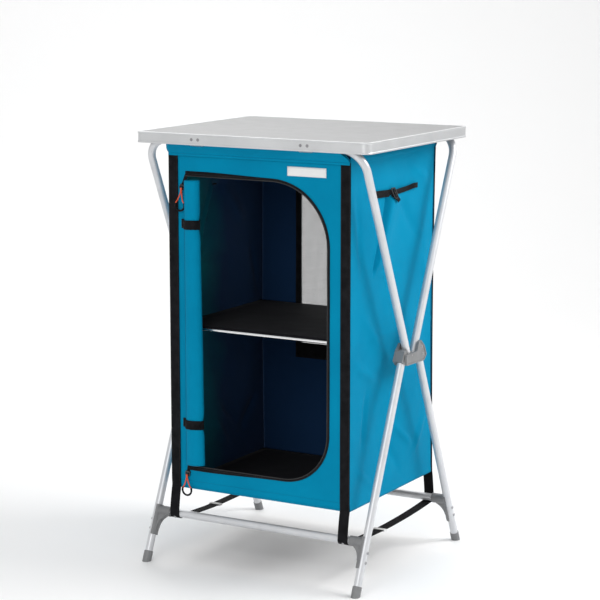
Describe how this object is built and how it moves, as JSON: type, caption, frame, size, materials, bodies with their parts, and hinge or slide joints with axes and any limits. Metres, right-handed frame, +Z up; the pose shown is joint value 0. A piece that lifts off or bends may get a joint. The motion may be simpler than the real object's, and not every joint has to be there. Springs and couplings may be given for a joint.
{
  "type": "folding camping cupboard",
  "caption": "Folding camping cupboard: crossed tube legs, a board top, and a fabric body with a shelf and a rolled-up zip door.",
  "frame": {"origin": "on the floor, under the middle of the tabletop", "axes": "+Z up, -Y towards the doorway, +X to the right of someone who faces the doorway"},
  "size_m": [0.6, 0.5386, 1.005],
  "materials": {
    "profile": "satin anodised aluminium edge profile",
    "top": "light grey laminated board, matt",
    "tube": "light grey powder-coated tube",
    "moulding": "mid grey moulded nylon",
    "rivet": "plain steel rivets and pins",
    "clip": "bare aluminium strip, bent",
    "cloth": "teal blue coated polyester, dull sheen",
    "lining": "black coated polyester on a stiff panel",
    "webbing": "black woven webbing",
    "net": "black mesh net",
    "zip": "black zip tape and piping",
    "rod": "bright drawn aluminium rod",
    "buckle": "black moulded buckle",
    "slide": "white moulded strap slide",
    "pull": "orange-red moulded tab on a black cord loop",
    "slider": "dark plated zip slider"
  },
  "bodies": {
    "cabinet": {"side_panel_left": "cloth", "side_panel_right": "cloth", "base_panel": "lining", "shelf_deck": "lining", "side_strap_left": "webbing", "side_strap_right": "webbing", "strap_slides": "slide", "tension_straps": "webbing", "ladder_locks": "buckle"},
    "tabletop": {"tabletop_board": "top", "tabletop_edge": "profile", "clips_front": "clip", "clips_rear": "clip", "clip_rivets": "rivet"},
    "pivots": {"hub_pin_left": "rivet", "hub_pin_right": "rivet"},
    "frame_front": {"front_upper_frame": "tube", "rear_crossbar": "tube", "rear_elbow_rivets": "rivet", "outer_bracket_rivets": "rivet", "rear_leg_left": "tube", "rear_leg_right": "tube", "rear_elbow_left": "moulding", "rear_elbow_right": "moulding", "rear_foot_left": "moulding", "rear_foot_right": "moulding", "outer_bracket_left": "moulding", "outer_bracket_right": "moulding"},
    "frame_rear": {"rear_upper_frame": "tube", "front_crossbar": "tube", "front_elbow_rivets": "rivet", "inner_bracket_rivets": "rivet", "front_leg_left": "tube", "front_leg_right": "tube", "front_elbow_left": "moulding", "front_elbow_right": "moulding", "front_foot_left": "moulding", "front_foot_right": "moulding", "inner_bracket_left": "moulding", "inner_bracket_right": "moulding"},
    "front_wall": {"front_panel": "cloth", "door_roll": "cloth", "door_ties": "webbing", "zip_tape": "zip", "front_sleeve": "cloth", "shelf_rod_front": "rod", "zip_slider_top": "slider", "zip_slider_bottom": "slider", "front_strap_left": "webbing", "front_strap_right": "webbing"},
    "rear_wall": {"rear_panel": "cloth", "rear_mesh": "net", "rear_sleeve": "cloth", "shelf_rod_rear": "rod", "rear_strap_left": "webbing", "rear_strap_right": "webbing"},
    "pull_top": {"zip_pull_top": "pull"},
    "pull_bottom": {"zip_pull_bottom": "pull"}
  },
  "joints": [
    {"name": "fold", "type": "hinge", "parent": "pivots", "child": "frame_front", "pos_m": [0, 0, 0.497], "axis": [-1, 0, 0], "range_deg": [0, 24], "deforming": ["side_panel_left", "side_panel_right", "base_panel", "shelf_deck", "side_strap_left", "side_strap_right", "front_strap_left", "front_strap_right", "rear_strap_left", "rear_strap_right", "front_sleeve", "rear_sleeve", "tension_straps", "strap_slides", "ladder_locks"]},
    {"name": "fold_rear", "type": "hinge", "parent": "pivots", "child": "frame_rear", "pos_m": [0, 0, 0.497], "axis": [1, 0, 0], "range_deg": [0, 24.2]},
    {"name": "hub_rise", "type": "slide", "parent": "cabinet", "child": "pivots", "axis": [0, 0, 1], "range_m": [0, 0.0575]},
    {"name": "top_lift", "type": "slide", "parent": "cabinet", "child": "tabletop", "axis": [0, 0, 1], "range_m": [0, 0.1589]},
    {"name": "front_wall_in", "type": "slide", "parent": "cabinet", "child": "front_wall", "axis": [0, 1, 0], "range_m": [0, 0.1755]},
    {"name": "rear_wall_in", "type": "slide", "parent": "cabinet", "child": "rear_wall", "axis": [0, -1, 0], "range_m": [0, 0.1755]},
    {"name": "pull_top_swing", "type": "hinge", "parent": "front_wall", "child": "pull_top", "pos_m": [-0.19917, -0.2145, 0.87953], "axis": [1, 0, 0], "range_deg": [-150, 0]},
    {"name": "pull_bottom_swing", "type": "hinge", "parent": "front_wall", "child": "pull_bottom", "pos_m": [-0.19105, -0.2145, 0.21093], "axis": [1, 0, 0], "range_deg": [-150, 0]}
  ],
  "couplings": [
    {"joint": "fold_rear", "follows": "fold", "ratio": 1},
    {"joint": "hub_rise", "follows": "fold", "m_per_rad": 0.13608},
    {"joint": "top_lift", "follows": "fold", "m_per_rad": 0.37815},
    {"joint": "front_wall_in", "follows": "fold", "m_per_rad": 0.41778},
    {"joint": "rear_wall_in", "follows": "fold", "m_per_rad": 0.41778}
  ]
}
